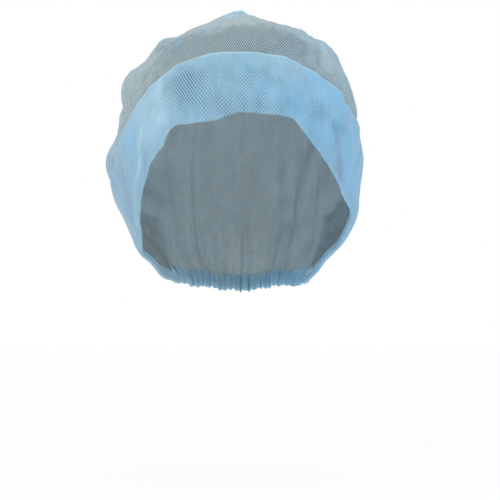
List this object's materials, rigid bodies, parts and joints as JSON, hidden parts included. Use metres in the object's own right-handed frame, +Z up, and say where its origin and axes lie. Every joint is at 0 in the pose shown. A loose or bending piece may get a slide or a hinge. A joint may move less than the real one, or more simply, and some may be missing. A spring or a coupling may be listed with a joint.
{
  "type": "disposable hair cap",
  "caption": "Soft disposable hair cap of light blue perforated nonwoven with a wide turned-up cuff round the face and an elastic nape, in its worn shape.",
  "frame": {"origin": "centre of the wearer's head at the height of the cap's forehead edge", "axes": "+Z up as worn, the face opening looks along -Y, +X to the viewer's right when the cap is seen from in front"},
  "size_m": [0.1792, 0.2086, 0.2009],
  "materials": {
    "crown_mesh": "single ply of perforated nonwoven, see-through, matt",
    "cuff_cloth": "perforated nonwoven folded double, matt with a soft sheen",
    "seam_thread": "overlock and lock stitching in pale blue thread over the cloth's edges",
    "elastic": "flat braided elastic, white, matt"
  },
  "bodies": {
    "cap": {"crown_front_panel": "crown_mesh", "crown_rear_panel": "crown_mesh", "crown_seam": "seam_thread", "cuff_band": "cuff_cloth", "rim_seam": "seam_thread", "left_cuff_end_seam": "seam_thread", "right_cuff_end_seam": "seam_thread", "left_elastic_tack": "seam_thread", "right_elastic_tack": "seam_thread"},
    "nape": {"nape_casing": "cuff_cloth", "nape_elastic": "elastic", "nape_seam": "seam_thread"}
  },
  "joints": [
    {"name": "nape_pull", "type": "slide", "parent": "cap", "child": "nape", "axis": [0, 0.6428, -0.766], "range_m": [0, 0.025], "stiffness_N_per_m": 30}
  ]
}
